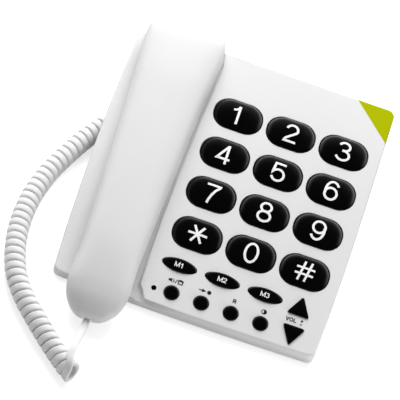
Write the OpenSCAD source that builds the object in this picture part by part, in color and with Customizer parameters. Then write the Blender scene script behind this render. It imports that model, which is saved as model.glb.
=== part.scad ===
/* [Base] */
// Width of the base
base_w = 168; // [164:1:176]
// Depth of the base on the table
base_d = 178; // [176:1:184]
// Height of the top edge at the front, above the table
front_h = 8.6; // [8.4:0.2:11]
// Slope of the panel at the front edge, in degrees
front_slope = 13.8; // [13:0.2:15]
// Radius of the panel's gentle arch, seen from the side
panel_r = 1430; // [1300:10:1700]
// Radius of the housing's top edges
edge_r = 1.2; // [1:0.1:1.4]
// Radius of the base's corners, seen from above
corner_r = 4.5; // [4:0.5:6]
// How far the sides curve in towards the corners
side_bow = 2.2; // [1:0.1:2.4]
// How far the key panel reaches past the cradle at the rear
rear_step = 1.6; // [1:0.1:3]
// Wall of the two housings
wall = 2; // [1.8:0.1:2.2]
// Height of the seam between the upper and the lower housing
seam_z = 4.4; // [4.2:0.1:4.8]
// Thickness of the lower housing's floor
floor_t = 1.8; // [1.6:0.1:2]
// Gap under the lower housing, which the feet fill
foot_h = 1.2; // [1:0.1:1.4]
// How far the cradle lies below the key panel
cradle_drop = 3; // [2.6:0.1:3.4]

/* [Keys] */
// Width of a dialling key
key_w = 30.6; // [28:0.1:31]
// Height of a dialling key, along the panel
key_h = 21.5; // [19:0.1:23]
// Corner radius of a dialling key
key_corner = 9.8; // [8:0.1:10]
// Distance between two columns of dialling keys
col_pitch = 34; // [33.8:0.1:35]
// Distance between two rows of dialling keys
row_pitch = 29.4; // [27:0.1:30]
// The middle column's place, from the base's centre line
col_x = 26.7; // [26:0.1:27]
// The lowest row's place, along the panel from the front edge
row_l = 52.2; // [51:0.1:53]
// How far a dialling key stands above the panel
key_rise = 2.4; // [2:0.1:3]
// Radius of the dome on a dialling key
key_dome_r = 62; // [50:1:90]
// Travel of every key
key_travel = 1.1; // [0.8:0.1:1.2]
// Clearance round a key in its opening
key_gap = 0.35; // [0.3:0.05:0.4]
// Rim of a key's flange under the panel
flange_rim = 1.2; // [1:0.1:1.3]
// Thickness of a key's flange
flange_t = 0.9; // [0.7:0.1:1]
// Length of a memory key
memory_w = 21.5; // [20:0.1:23]
// Width of a memory key, along the panel
memory_h = 8.4; // [8:0.1:10]
// Distance between two memory keys
memory_pitch = 27; // [26:0.1:28]
// First memory key's place, from the centre line
memory_x = -11.4; // [-12:0.1:-11]
// Memory row's place, along the panel from the front edge
memory_l = 29.1; // [28.6:0.1:29.4]
// Diameter of a round key
round_d = 9.2; // [9:0.1:10.4]
// Distance between two round keys
round_pitch = 18.6; // [18:0.1:19]
// First round key's place, from the centre line
round_x = -10.7; // [-11.5:0.1:-10]
// Round row's place, along the panel from the front edge
round_l = 10.5; // [10.3:0.1:11]
// How far the small keys stand above the panel
small_rise = 1.6; // [1.4:0.1:2]
// Side of a volume key's triangle across the panel
volume_w = 12.4; // [11:0.1:13]
// Height of a volume key's triangle along the panel
volume_h = 11.6; // [10:0.1:12]
// Volume keys' place, from the centre line
volume_x = 64.8; // [64:0.1:66]
// Middle of the upper volume key's triangle, along the panel
volume_up_l = 27.6; // [27:0.1:28.5]
// Middle of the lower volume key's triangle, along the panel
volume_down_l = 11.4; // [11:0.1:12]
// Diameter of the in-use light
led_d = 3; // [2.6:0.1:4]
// The in-use light's place, from the centre line
led_x = -21.6; // [-22:0.1:-21]
// The in-use light's place, along the panel
led_l = 9.9; // [9:0.1:11]
// Leg of the ring indicator's triangle
indicator_leg = 26.5; // [22:0.5:28]

/* [Handset] */
// The handset's middle, from the base's left side
handset_side = 31.5; // [31:0.1:32]
// The handset's middle, from the base's middle
handset_y = -8; // [-8.4:0.1:-7.6]
// Height of the handset's middle, above the table
handset_z = 32; // [32:0.1:33]
// Slope of the handset on the cradle, in degrees
handset_slope = 9.5; // [9.3:0.1:9.7]
// Wall of the handset's two shells
shell_wall = 2.2; // [1.8:0.1:2.6]
// Radius of the ear cup
ear_r = 20; // [18:0.1:21]
// The ear cup's place along the handset
ear_u = 76; // [74:0.5:78]
// How deep the ear cup reaches below the handset's middle
ear_depth = 16.5; // [15:0.1:17]
// The microphone's place along the handset
mouth_u = -80; // [-81:0.5:-78]
// Radius of one sound hole
sound_hole_r = 1.1; // [0.8:0.1:1.4]
// Clearance between the handset and the cradle
rest_gap = 0.3; // [0.25:0.05:0.4]
// Clearance beside the handset in the panel's cut-out
side_gap = 1.6; // [1.4:0.1:2]

/* [Cord] */
// Width of the flat cord
cord_d = 4.4; // [4:0.1:4.6]
// Thickness of the flat cord
cord_t = 2.5; // [2.2:0.1:2.8]
// Outer diameter of the curls
curl_d = 13; // [12:0.1:14]
// Distance from one curl to the next
curl_pitch = 5.3; // [5.1:0.1:6]
// Width of a modular plug
plug_w = 7.6; // [7.2:0.1:8]
// Height of a modular plug
plug_h = 6.4; // [6:0.1:6.8]
// Length of a modular plug
plug_l = 13; // [12:0.5:15]
// Clearance round a plug in its jack
plug_gap = 0.25; // [0.2:0.05:0.3]
// Depth of a plug in its jack
plug_in = 9; // [8:0.5:10]

/* [Inside] */
// Thickness of the circuit boards
board_t = 1.2; // [1:0.1:1.6]
// Thickness of the keypad mat
mat_t = 0.8; // [0.6:0.1:1]
// Radius of the housing screws' shanks
screw_r = 1.4; // [1.2:0.1:1.6]
// Radius of the hook plunger
hook_r = 4; // [3.5:0.1:4.5]
// Travel of the hook plunger
hook_travel = 4; // [3:0.5:4]
// Radius of the ringer's case
ringer_r = 16; // [14:0.5:18]
// Height of the ringer's case
ringer_h = 8; // [6:0.5:9]
// Radius of the receiver capsule in the ear cup
receiver_r = 16; // [14:0.5:17]
// Radius of the microphone capsule
mic_r = 5; // [4:0.1:6]
// Distance between the two wall-mounting keyholes
keyhole_pitch = 83; // [80:1:100]
// Radius of a keyhole's slot
keyhole_slot_r = 2.2; // [2:0.1:2.6]
// Radius of a keyhole's head opening
keyhole_head_r = 4.4; // [4:0.1:5]

/* [Hidden] */

$fn = 48;
eps = 0.01;
big = 400;

// The panel is an arc about an axis along X, far below the table.
arc_y0 = -base_d / 2 + panel_r * sin(front_slope);
arc_z0 = front_h - panel_r * cos(front_slope);
rear_slope = asin((arc_y0 - base_d / 2) / panel_r);
arc_steps = 14;

function slope_at(l) = front_slope - l / panel_r * 180 / PI;
function arc_point(a, depth = 0) = [arc_y0 - (panel_r - depth) * sin(a), arc_z0 + (panel_r - depth) * cos(a)];
function panel_z(y) = arc_z0 + sqrt(pow(panel_r, 2) - pow(arc_y0 - y, 2));
function front_y(y) = y - base_d / 2;
handset_x = handset_side - base_w / 2;

// Puts what is drawn about the origin on the panel, at x and at length l along it.
module on_panel(x, l) {
    a = slope_at(l);
    p = arc_point(a);
    translate([x, p[0], p[1]])
        rotate([a, 0, 0])
            children();
}

// Everything below the arc at a depth, from the height z up, over the width from x0 to x1.
module under_arc(x0, x1, depth, z, inset = 0) {
    a0 = asin((arc_y0 + base_d / 2 - inset) / (panel_r - depth));
    a1 = asin((arc_y0 - base_d / 2 + inset) / (panel_r - depth));
    top = [for (i = [0:arc_steps]) arc_point(a0 + (a1 - a0) * i / arc_steps, depth)];
    translate([x0, 0, 0])
        rotate([90, 0, 90])
            linear_extrude(x1 - x0)
                polygon(concat([[-base_d / 2 + inset, z]], top, [[base_d / 2 - inset, z]]));
}

// The arc's height at y, for a depth measured square to it.
function arc_height(y, depth) = arc_z0 + sqrt(pow(panel_r - depth, 2) - pow(arc_y0 - y, 2));

rear_y = base_d / 2 + 1.2;
cradle_rear_y = rear_y - rear_step;
bow_places = [-60, -30, 0, 30, 60];

function side_x(side, y) = side * (base_w / 2 - (side > 0 && y > 0 ? 0.1 : 1) * side_bow * pow(2 * y / base_d, 2));
function bowed_front(x) = -base_d / 2 + (x > 0 ? 0.5 : 1) * side_bow * pow(2 * x / base_w, 2);

// A corner's arc between two directions, drawn at an inset from the outline.
function corner(side, y, inward, from, inset) = [
    for (k = [0:4])
        let (a = from + k * 22.5, c = [side_x(side, y) - side * corner_r, y + inward * corner_r])
        c + (corner_r - inset) * [cos(a), sin(a)]
];

// The outline of the key panel's block, from its left side to the right, at an inset.
function panel_outline(x0, inset) = concat(
    [[x0 + inset, bowed_front(x0) + inset]],
    [for (x = [0, 30, 55]) [x, bowed_front(x) + inset]],
    corner(1, bowed_front(base_w / 2 - corner_r), 1, -90, inset),
    [for (y = bow_places) [side_x(1, y) - inset, y]],
    corner(1, rear_y, -1, 0, inset),
    [for (y = [rear_y - inset, 60, 30, 0, -30, -60]) [x0 + inset, y]]
);

// The outline of the cradle's block, from the left side to x1 under the panel, at an inset.
function cradle_outline(x1, inset) = concat(
    corner(-1, bowed_front(corner_r - base_w / 2), 1, 180, inset),
    [for (x = [-55, -30]) [x, bowed_front(x) + inset]],
    [for (y = concat([bowed_front(x1) + inset], bow_places, [cradle_rear_y - inset])) [x1 - inset, y]],
    corner(-1, cradle_rear_y, -1, 90, inset),
    [for (i = [len(bow_places) - 1:-1:0]) [side_x(-1, bow_places[i]) + inset, bow_places[i]]]
);

// A convex block with rounded top edges under the arc, round an outline drawn at the inset edge_r.
module rounded_block(outline, depth) {
    intersection() {
        hull()
            for (p = outline) {
                translate([p[0], p[1], arc_height(p[1], depth + edge_r)])
                    sphere(edge_r, $fn = 16);
                translate([p[0], p[1], seam_z])
                    cylinder(r = edge_r, h = eps, $fn = 16);
            }
        translate([-big / 2, -big / 2, seam_z])
            cube(big);
    }
}

module rounded_rect(w, h, r) {
    square([w, h - 2 * r], center = true);
    square([w - 2 * r, h], center = true);
    for (x = [-1, 1], y = [-1, 1])
        translate([x * (w / 2 - r), y * (h / 2 - r)])
            circle(r);
}

module ellipse_shape(w, h) {
    polygon([for (i = [0:35]) [w / 2 * cos(i * 10), h / 2 * sin(i * 10)]]);
}

// A triangle with its centre of area at the origin; it points along +Y when up is 1.
module triangle_shape(w, h, up) {
    polygon([[-w / 2, -up * h / 3], [w / 2, -up * h / 3], [0, up * 2 * h / 3]]);
}

// ---------------------------------------------------------------- keys

rim_in = flange_rim;
mat_depth = wall + 0.2 + flange_t + key_travel + 0.3;
mat_front_l = 5;
mat_rear_l = 172;

// Depth of the flat mat below the arched panel at length l.
function mat_depth_at(l) =
    let (a = slope_at(l), lm = (mat_front_l + mat_rear_l) / 2, am = slope_at(lm),
         half = slope_at(mat_front_l) - am)
    mat_depth + panel_r * (cos(a - am) - cos(half));

// Shape number: 0 dialling, 1 memory, 2 round, 3 volume up, 4 volume down.
module key_outline(shape, grow) {
    if (shape == 0) rounded_rect(key_w + 2 * grow, key_h + 2 * grow, key_corner + grow);
    if (shape == 1) ellipse_shape(memory_w + 2 * grow, memory_h + 2 * grow);
    if (shape == 2) circle(round_d / 2 + grow);
    if (shape == 3) triangle_shape(volume_w + 3.4 * grow, volume_h + 3.1 * grow, 1);
    if (shape == 4) triangle_shape(volume_w + 3.4 * grow, volume_h + 3.1 * grow, -1);
}

// One key: a domed cap through the panel, a flange under it and a stem down to the mat.
module key_body(shape, x, l, rise, dome_r) {
    flange_z = -wall - 0.2;
    stem_h = mat_depth_at(l) + flange_z - flange_t - key_travel - 0.25;
    on_panel(x, l) {
        intersection() {
            translate([0, 0, flange_z - eps])
                linear_extrude(rise - flange_z)
                    key_outline(shape, 0);
            translate([0, 0, rise - dome_r])
                sphere(dome_r, $fn = 120);
        }
        translate([0, 0, flange_z - flange_t])
            linear_extrude(flange_t)
                key_outline(shape, shape < 3 ? rim_in : rim_in * 0.6);
        if (stem_h > 0.2)
            translate([0, 0, flange_z - flange_t - stem_h])
                cylinder(r = 2.5, h = stem_h + eps);
    }
}

module key_opening(shape, x, l) {
    on_panel(x, l)
        translate([0, 0, -wall - 4])
            linear_extrude(wall + 8)
                key_outline(shape, key_gap);
}

function dial_l(row) = row_l + (3 - row) * row_pitch;
function dial_x(col) = col_x + (col - 1) * col_pitch;

module dial_key(row, col) color("black") key_body(0, dial_x(col), dial_l(row), key_rise, key_dome_r);
module memory_key(i) color("black") key_body(1, memory_x + i * memory_pitch, memory_l, small_rise, 40);
module round_key(i) color("black") key_body(2, round_x + i * round_pitch, round_l, small_rise, 20);
module volume_up_key() color("black") key_body(3, volume_x, volume_up_l, small_rise, 40);
module volume_down_key() color("black") key_body(4, volume_x, volume_down_l, small_rise, 40);

module all_key_openings() {
    for (row = [0:3], col = [0:2]) key_opening(0, dial_x(col), dial_l(row));
    for (i = [0:2]) key_opening(1, memory_x + i * memory_pitch, memory_l);
    for (i = [0:3]) key_opening(2, round_x + i * round_pitch, round_l);
    key_opening(3, volume_x, volume_up_l);
    key_opening(4, volume_x, volume_down_l);
}

// ---------------------------------------------------------------- handset shape

// Stations along the handset: place, half width, top, seam and underside, from its middle.
STATIONS = [
    [-110.8, 4, -2.4, -4.2, -6.4],
    [-109.4, 9, 0.4, -3.8, -9.4],
    [-105.5, 13.2, 3.6, -3.4, -11.6],
    [-101, 16.2, 6.2, -3, -12.4],
    [-96, 18.1, 8, -2.5, -12.7],
    [-88, 19.2, 10, -2, -12.4],
    [-72, 18.6, 12.5, -2, -10.2],
    [-55, 19.1, 13.7, -2, -8.6],
    [-23, 20.1, 14.5, -2, -7.6],
    [11, 21.5, 14.5, -2, -7.5],
    [47, 22.9, 14, -2, -8],
    [63, 23.9, 13.4, -2, -8.4],
    [88, 25.1, 11, -2, -9],
    [99, 23.6, 8, -2, -8.6],
    [108, 18, 4, -2, -7],
    [112, 6, 0.8, -2, -4.2]
];
section_power = 0.8;
outer_steps = 14;
inner_steps = 8;

function station(v) =
    let (n = len(STATIONS), i = min(floor(v), n - 2), f = v - i,
         a = STATIONS[max(i - 1, 0)], b = STATIONS[i], c = STATIONS[i + 1], d = STATIONS[min(i + 2, n - 1)])
    (2 * b + (c - a) * f + (2 * a - 5 * b + 4 * c - d) * f * f + (3 * b - a - 3 * c + d) * f * f * f) / 2;

function power(x) = sign(x) * pow(abs(x), section_power);

// A half section: an outer arc from the right to the left seam and the cavity's arc back.
function half_section(s, side) =
    let (reach = side > 0 ? s[2] - s[3] : s[4] - s[3],
         inner_w = max(s[1] - shell_wall, s[1] * 0.4),
         inner_h = max(abs(reach) - shell_wall, 0) * side)
    concat(
        [for (i = [0:outer_steps]) let (t = 180 * i / outer_steps)
            [s[1] * power(cos(t)), s[0], s[3] + reach * power(sin(t))]],
        [for (i = [0:inner_steps]) let (t = 180 - 180 * i / inner_steps)
            [inner_w * power(cos(t)), s[0], s[3] + (s[1] > 12 ? inner_h : 0) * power(sin(t))]]
    );

function centre(points) = [for (k = [0:2]) [for (p = points) p[k]] * [for (p = points) 1] / len(points)];

// A closed solid through rings of equally many points; flip turns its faces over.
module loft(rings, flip = false) {
    m = len(rings[0]);
    n = len(rings);
    points = concat([for (r = rings) each r], [centre(rings[0]), centre(rings[n - 1])]);
    sides = [for (i = [0:n - 2], j = [0:m - 1], half = [0, 1])
        let (a = i * m + j, b = i * m + (j + 1) % m, c = b + m, d = a + m)
        half == 0 ? [a, b, c] : [a, c, d]];
    ends = [for (j = [0:m - 1], k = [0, 1])
        k == 0 ? [n * m, (j + 1) % m, j] : [n * m + 1, (n - 1) * m + j, (n - 1) * m + (j + 1) % m]];
    faces = concat(sides, ends);
    polyhedron(points, flip ? [for (f = faces) [f[0], f[2], f[1]]] : faces, convexity = 6);
}

module in_handset() {
    translate([handset_x, handset_y, handset_z])
        rotate([handset_slope, 0, 0])
            children();
}

function handset_to_base(u, w) = [
    handset_x,
    handset_y + u * cos(handset_slope) - w * sin(handset_slope),
    handset_z + u * sin(handset_slope) + w * cos(handset_slope)
];

screw_sink = 1.3;
boss_lift = 0.5;
station_steps = 2;
station_places = [for (v = [0:1 / station_steps:len(STATIONS) - 1]) station(v)];

jack_wall = 1;
jack_w = plug_w + 2 * (plug_gap + jack_wall);
jack_h = plug_h + 2 * (plug_gap + jack_wall);
jack_l = plug_in + 3;
plug_back = plug_l - plug_in;
slot_drop = 20;
lip_slot_w = cord_d + 1.2;
handset_jack_w = -6.6;
handset_jack_u = -102;
screw_u = [-62, 50];

// The jack's body with its mouth at the origin, facing -Y.
module jack_shape() {
    difference() {
        translate([-jack_w / 2, 0, -jack_h / 2])
            cube([jack_w, jack_l, jack_h]);
        translate([-plug_w / 2 - plug_gap, -eps, -plug_h / 2 - plug_gap])
            cube([plug_w + 2 * plug_gap, plug_in + plug_gap + eps, plug_h + 2 * plug_gap]);
    }
}

// A modular plug whose shoulder is at the origin, its nose towards +Y and its cord end towards -Y.
module plug_shape() {
    difference() {
        translate([-plug_w / 2, plug_in - plug_l, -plug_h / 2])
            cube([plug_w, plug_l, plug_h]);
        for (i = [-1.5:1.5])
            translate([i * 1.25 - 0.25, plug_in - 4, -plug_h / 2 - eps])
                cube([0.5, 4 + eps, 1.2]);
    }
    translate([-1.6, plug_in - plug_l + 1, plug_h / 2 - eps])
        rotate([4, 0, 0])
            cube([3.2, plug_l - plug_in - 1.5, 0.8]);
}

// The space for a jack's body, with a slot in front of its mouth that is open downwards.
module jack_space(extra, slot_l) {
    translate([-jack_w / 2 - extra, 0, -jack_h / 2 - extra])
        cube([jack_w + 2 * extra, jack_l + extra, jack_h + 2 * extra]);
    translate([-plug_w / 2 - 1, -slot_l, -slot_drop])
        cube([plug_w + 2, slot_l + eps, slot_drop + plug_h / 2 + 0.4]);
}

function under_w(u) = lookup(u, [for (s = STATIONS) [s[0], s[4]]]);
function top_w(u) = lookup(u, [for (s = STATIONS) [s[0], s[2]]]);

module at_handset_jack() {
    in_handset()
        translate([0, handset_jack_u, handset_jack_w])
            children();
}

module handset_outer_shell() {
    color("white")
        difference() {
            in_handset() {
                loft([for (s = station_places) half_section(s, 1)]);
                for (u = screw_u)
                    translate([0, u, under_w(u) + shell_wall + boss_lift])
                        cylinder(r = 3, h = top_w(u) - under_w(u) - 1.5 * shell_wall - boss_lift);
            }
            at_handset_jack()
                jack_space(0.1, plug_back + 0.4);
            in_handset()
                for (u = screw_u)
                    translate([0, u, under_w(u)])
                        cylinder(r = 1.05, h = 10);
        }
}

module sound_holes(radius) {
    circle(sound_hole_r);
    for (i = [0:5])
        rotate(i * 60)
            translate([radius / 2, 0])
                circle(sound_hole_r);
    for (i = [0:11])
        rotate(i * 30)
            translate([radius, 0])
                circle(sound_hole_r);
}

mic_seat_h = 2.1;
mic_w = under_w(mouth_u) + shell_wall + 1;

module handset_inner_shell() {
    color("white")
        in_handset()
            difference() {
                union() {
                    loft([for (s = station_places) half_section(s, -1)], flip = true);
                    translate([0, ear_u, -ear_depth])
                        cylinder(r1 = ear_r - 1.5, r2 = ear_r, h = 1.5);
                    translate([0, ear_u, -ear_depth + 1.5 - eps])
                        cylinder(r = ear_r, h = ear_depth - 8);
                    translate([0, mouth_u, mic_w - mic_seat_h])
                        cylinder(r = mic_r + 0.2, h = mic_seat_h);
                }
                translate([0, ear_u, -ear_depth + shell_wall])
                    cylinder(r = ear_r - shell_wall, h = ear_depth - 3);
                translate([0, ear_u, -ear_depth - 1])
                    linear_extrude(shell_wall + 2)
                        sound_holes(9);
                translate([0, mouth_u, mic_w - 8])
                    linear_extrude(8 + eps)
                        sound_holes(6.6);
                translate([0, handset_jack_u, handset_jack_w]) {
                    jack_space(0.1, plug_back + 0.4);
                    translate([-lip_slot_w / 2, -slot_drop, -slot_drop])
                        cube([lip_slot_w, slot_drop, slot_drop + cord_t / 2 + 0.5]);
                }
                for (u = screw_u)
                    translate([0, u, under_w(u)]) {
                        translate([0, 0, -5])
                            cylinder(r = 2.6, h = 5 + screw_sink);
                        cylinder(r = 1.25, h = 5);
                    }
            }
}

weight_w = 17;
weight_l = 70;
weight_t = 4;
weight_u = -38;

module receiver_capsule() {
    color("dimgray")
        in_handset()
            translate([0, ear_u, -ear_depth + shell_wall]) {
                cylinder(r = receiver_r, h = 3);
                cylinder(r = receiver_r * 0.6, h = 7);
            }
}

module microphone_capsule() {
    color("silver")
        in_handset()
            translate([0, mouth_u, mic_w])
                cylinder(r = mic_r, h = 4.5);
}

module handset_weight() {
    color("gray")
        in_handset()
            translate([-weight_w / 2, weight_u, -weight_t - 0.8])
                cube([weight_w, weight_l, weight_t]);
}

module handset_jack() {
    color("gray")
        at_handset_jack()
            jack_shape();
}

module handset_plug() {
    color("white")
        at_handset_jack()
            plug_shape();
}

module handset_screws() {
    color("silver")
        in_handset()
            for (u = screw_u)
                translate([0, u, under_w(u) + screw_sink - 1.2]) {
                    cylinder(r = 2.5, h = 1.2);
                    cylinder(r = 1, h = 9);
                }
}

// ---------------------------------------------------------------- base

panel_edge_x = handset_x + STATIONS[8][1] + side_gap;
mouth_cut_r = 30;
mouth_cut_y = front_y(-10);
pocket_x = -base_w / 2 + 16;
pocket_y0 = front_y(88);
pocket_y1 = front_y(131);
pocket_z = 16;
cord_jack_x = -base_w / 2 + jack_w / 2 + 0.2;
cord_jack_z = seam_z + jack_h / 2 + 0.15;
floor_z = foot_h + floor_t;
boss_r = 2.8;
boss_x = base_w / 2 - wall - boss_r;
boss_y = [-0.3 * base_d, 0.38 * base_d];
board_boss_l = [row_l + row_pitch / 2, row_l + 2.5 * row_pitch];
board_boss_lift = 0.08;
board_boss_x = [col_x - col_pitch / 2, col_x + col_pitch / 2];
hook_x = handset_x;
hook_y = front_y(118);
lens_depth = 2.6;

// The plan of the cradle: left of the panel's edge, round the handset and its mouth end.
module cradle_plan(grow) {
    translate([-base_w / 2 - 5, -base_d / 2 - 5])
        square([panel_edge_x + grow + base_w / 2 + 5, base_d + 15]);
    polygon(concat(
        [for (s = STATIONS) [handset_x + s[1] + side_gap + grow, handset_y + s[0] * cos(handset_slope)]],
        [for (i = [len(STATIONS) - 1:-1:0])
            [handset_x, handset_y + STATIONS[i][0] * cos(handset_slope)]]
    ));
    translate([handset_x, mouth_cut_y])
        circle(mouth_cut_r + grow);
}

// What lies above the cradle's surface at a depth, inside the cradle's plan.
module above_cradle(grow, depth) {
    difference() {
        linear_extrude(80)
            cradle_plan(grow);
        under_arc(-base_w / 2 - 10, base_w / 2 + 10, depth, -1, -10);
    }
}

module ear_pocket(grow, depth) {
    in_handset()
        translate([0, ear_u, -ear_depth - rest_gap - depth])
            cylinder(r = ear_r + side_gap + 0.2 + grow, h = ear_depth + 20);
}

module cord_pocket(grow, top) {
    translate([-base_w / 2 - 10, pocket_y0 - grow, -1])
        cube([pocket_x + base_w / 2 + 10 + grow, pocket_y1 - pocket_y0 + 2 * grow, top + 1 + grow]);
}

module indicator_plan() {
    c = [base_w / 2 + 1, rear_y + 1];
    polygon([c, c - [indicator_leg + 1.2, 0], c - [0, indicator_leg + 1.2]]);
}

module indicator_space(depth) {
    difference() {
        linear_extrude(80)
            indicator_plan();
        under_arc(0, base_w / 2 + 10, depth, -1, -10);
    }
}

module at_cord_jack() {
    translate([cord_jack_x, pocket_y0, cord_jack_z])
        rotate([0, 0, 180])
            children();
}

line_plug_w = 9.7;
line_jack_w = line_plug_w + 2 * (plug_gap + jack_wall);
main_board_z = 8;
main_board_side = 12;
main_board_reach = 65;
main_board_x = [0, base_w / 2 - main_board_side];
main_board_y = [base_d / 2 - main_board_reach, rear_y - wall - 2];
line_x = 22;
line_z = main_board_z + board_t + jack_h / 2;
switch_x = 55;
switch_z = 15;
switch_travel = 4;
knob_w = 4.4;
knob_h = 3;

module at_line_jack() {
    translate([line_x, rear_y, line_z])
        rotate([0, 0, 180])
            children();
}

// The plan of the whole base, at an inset from its outline.
module base_plan(inset) {
    polygon(panel_outline(panel_edge_x, inset));
    polygon(cradle_outline(panel_edge_x + 30, inset));
}

// The cavity of the upper housing, closed under the cradle, the ear pocket and the cord pocket.
module upper_cavity() {
    difference() {
        intersection() {
            under_arc(-base_w / 2, base_w / 2, wall, -1, -10);
            translate([0, 0, -1])
                linear_extrude(80)
                    base_plan(wall);
        }
        above_cradle(wall, cradle_drop + wall);
        ear_pocket(wall, wall);
        cord_pocket(wall, pocket_z);
        for (x = [-boss_x, boss_x], y = boss_y)
            translate([x, y, 0])
                cylinder(r = boss_r, h = 60);
        for (x = board_boss_x, l = board_boss_l)
            on_panel(x, l)
                translate([0, 0, board_boss_lift - mat_depth_at(l) - mat_t])
                    cylinder(r = 2.2, h = 20);
    }
}

module upper_housing() {
    color("white")
        difference() {
            union() {
                rounded_block(panel_outline(panel_edge_x, edge_r), 0);
                rounded_block(cradle_outline(panel_edge_x + 30, edge_r), cradle_drop);
            }
            above_cradle(0, cradle_drop);
            upper_cavity();
            ear_pocket(0, 0);
            cord_pocket(0, pocket_z);
            all_key_openings();
            on_panel(led_x, led_l)
                translate([0, 0, -10])
                    cylinder(r = led_d / 2 + 0.1, h = 20);
            indicator_space(lens_depth);
            translate([hook_x, hook_y, 10])
                cylinder(r = hook_r + 0.3, h = 40);
            at_cord_jack()
                jack_space(0.1, slot_drop);
            translate([line_x - line_jack_w / 2 - 0.1, rear_y - wall - 2, line_z - jack_h / 2 - 0.1])
                cube([line_jack_w + 0.2, wall + 5, jack_h + 0.2]);
            translate([switch_x - knob_w / 2 - 0.4, rear_y - wall - 2, switch_z - knob_h / 2 - 0.3])
                cube([knob_w + switch_travel + 0.8, wall + 5, knob_h + 0.6]);
            for (x = [-boss_x, boss_x], y = boss_y)
                translate([x, y, 0])
                    cylinder(r = screw_r - 0.2, h = seam_z + 4);
            for (x = board_boss_x, l = board_boss_l)
                on_panel(x, l)
                    translate([0, 0, -mat_depth_at(l) - mat_t - 1])
                        cylinder(r = 0.9, h = 4);
        }
}

foot_r = 7;
foot_x = base_w / 2 - 14;
foot_y = base_d / 2 - 13;
foot_in = 0.8;
ringer_x = -24;
ringer_y = -0.14 * base_d;
keyhole_x = 8;
keyhole_l = 44;
keyhole_y = front_y(keyhole_l);
main_post_x = [main_board_x[0] + 5, main_board_x[1] - 5];
main_post_y = [main_board_y[0] + 5, main_board_y[1] - 5];

module keyhole_shape() {
    circle(keyhole_head_r);
    translate([-keyhole_slot_r, 0])
        square([2 * keyhole_slot_r, 9]);
    translate([0, 9])
        circle(keyhole_slot_r);
}

module lower_housing() {
    color("whitesmoke")
        difference() {
            union() {
                difference() {
                    translate([0, 0, foot_h])
                        linear_extrude(seam_z - foot_h)
                            base_plan(0);
                    translate([0, 0, floor_z])
                        linear_extrude(seam_z)
                            base_plan(wall);
                }
                intersection() {
                    cord_pocket(wall, pocket_z);
                    translate([-base_w / 2, -base_d / 2, foot_h])
                        cube([base_w, base_d, seam_z - foot_h]);
                }
                for (x = main_post_x, y = main_post_y)
                    translate([x, y, foot_h + 0.5])
                        cylinder(r = 3, h = main_board_z - foot_h - 0.5);
                for (x = [-boss_x, boss_x], y = boss_y)
                    translate([x, y, foot_h + 0.5])
                        cylinder(r = boss_r, h = seam_z - foot_h - 0.5);
                translate([ringer_x, ringer_y, foot_h + 0.5])
                    difference() {
                        cylinder(r = ringer_r + 1.6, h = floor_t + 2.5);
                        cylinder(r = ringer_r + 0.2, h = floor_t + 4);
                    }
            }
            cord_pocket(0, pocket_z);
            for (x = [-foot_x, foot_x], y = [-foot_y, foot_y])
                translate([x, y, 0])
                    cylinder(r = foot_r, h = foot_h + foot_in);
            for (x = [-boss_x, boss_x], y = boss_y) {
                translate([x, y, 0])
                    cylinder(r = screw_r + 0.15, h = 10);
                translate([x, y, 0])
                    cylinder(r = 2.4, h = foot_h + 1.2);
            }
            for (x = main_post_x, y = main_post_y)
                translate([x, y, main_board_z - 4])
                    cylinder(r = 0.9, h = 10);
            translate([ringer_x, ringer_y, 0])
                linear_extrude(10)
                    sound_holes(9);
            for (y = [0, keyhole_pitch])
                translate([keyhole_x, keyhole_y + y, 0])
                    linear_extrude(10)
                        keyhole_shape();
        }
}

module ring_indicator_lens() {
    color("yellowgreen")
        difference() {
            intersection() {
                rounded_block(panel_outline(panel_edge_x, edge_r), 0);
                linear_extrude(80)
                    indicator_plan();
            }
            under_arc(0, base_w / 2 + 10, lens_depth, -1, -10);
        }
}

light_lift = 0.1;

module in_use_light() {
    color("darkred")
        on_panel(led_x, led_l)
            translate([0, 0, light_lift - mat_depth_at(led_l) - mat_t])
                cylinder(r = led_d / 2, h = mat_depth_at(led_l) + mat_t + 0.2 - light_lift);
}

mat_x0 = led_x - 2;
mat_x1 = base_w / 2 - wall - 2 * boss_r - 0.4;
mat_mid_l = (mat_front_l + mat_rear_l) / 2;
mat_half_angle = slope_at(mat_front_l) - slope_at(mat_mid_l);
mat_half_l = panel_r * sin(mat_half_angle);

// The frame of the flat mat and board under the arched panel, with z = 0 at the mat's top.
module in_mat_frame() {
    a = slope_at(mat_mid_l);
    p = arc_point(a, mat_depth_at(mat_mid_l));
    translate([0, p[0], p[1]])
        rotate([a, 0, 0])
            children();
}

module keypad_sheet(z, t, boss_hole_r) {
    difference() {
        in_mat_frame()
            translate([mat_x0, -mat_half_l, z])
                cube([mat_x1 - mat_x0, 2 * mat_half_l, t]);
        for (x = board_boss_x, l = board_boss_l)
            on_panel(x, l)
                translate([0, 0, -30])
                    cylinder(r = boss_hole_r, h = 30);
        children();
    }
}

module keypad_mat() {
    color("dimgray")
        keypad_sheet(-mat_t, mat_t, 2.6)
            on_panel(led_x, led_l)
                translate([0, 0, -20])
                    cylinder(r = led_d / 2 + 0.3, h = 20);
}

module keypad_board() {
    color("darkgreen")
        keypad_sheet(-mat_t - board_t, board_t, 1.1);
}

module main_board() {
    color("darkgreen")
        difference() {
            translate([main_board_x[0], main_board_y[0], main_board_z])
                cube([main_board_x[1] - main_board_x[0], main_board_y[1] - main_board_y[0], board_t]);
            for (x = main_post_x, y = main_post_y)
                translate([x, y, main_board_z - 1])
                    cylinder(r = 1.1, h = board_t + 2);
        }
}

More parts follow.
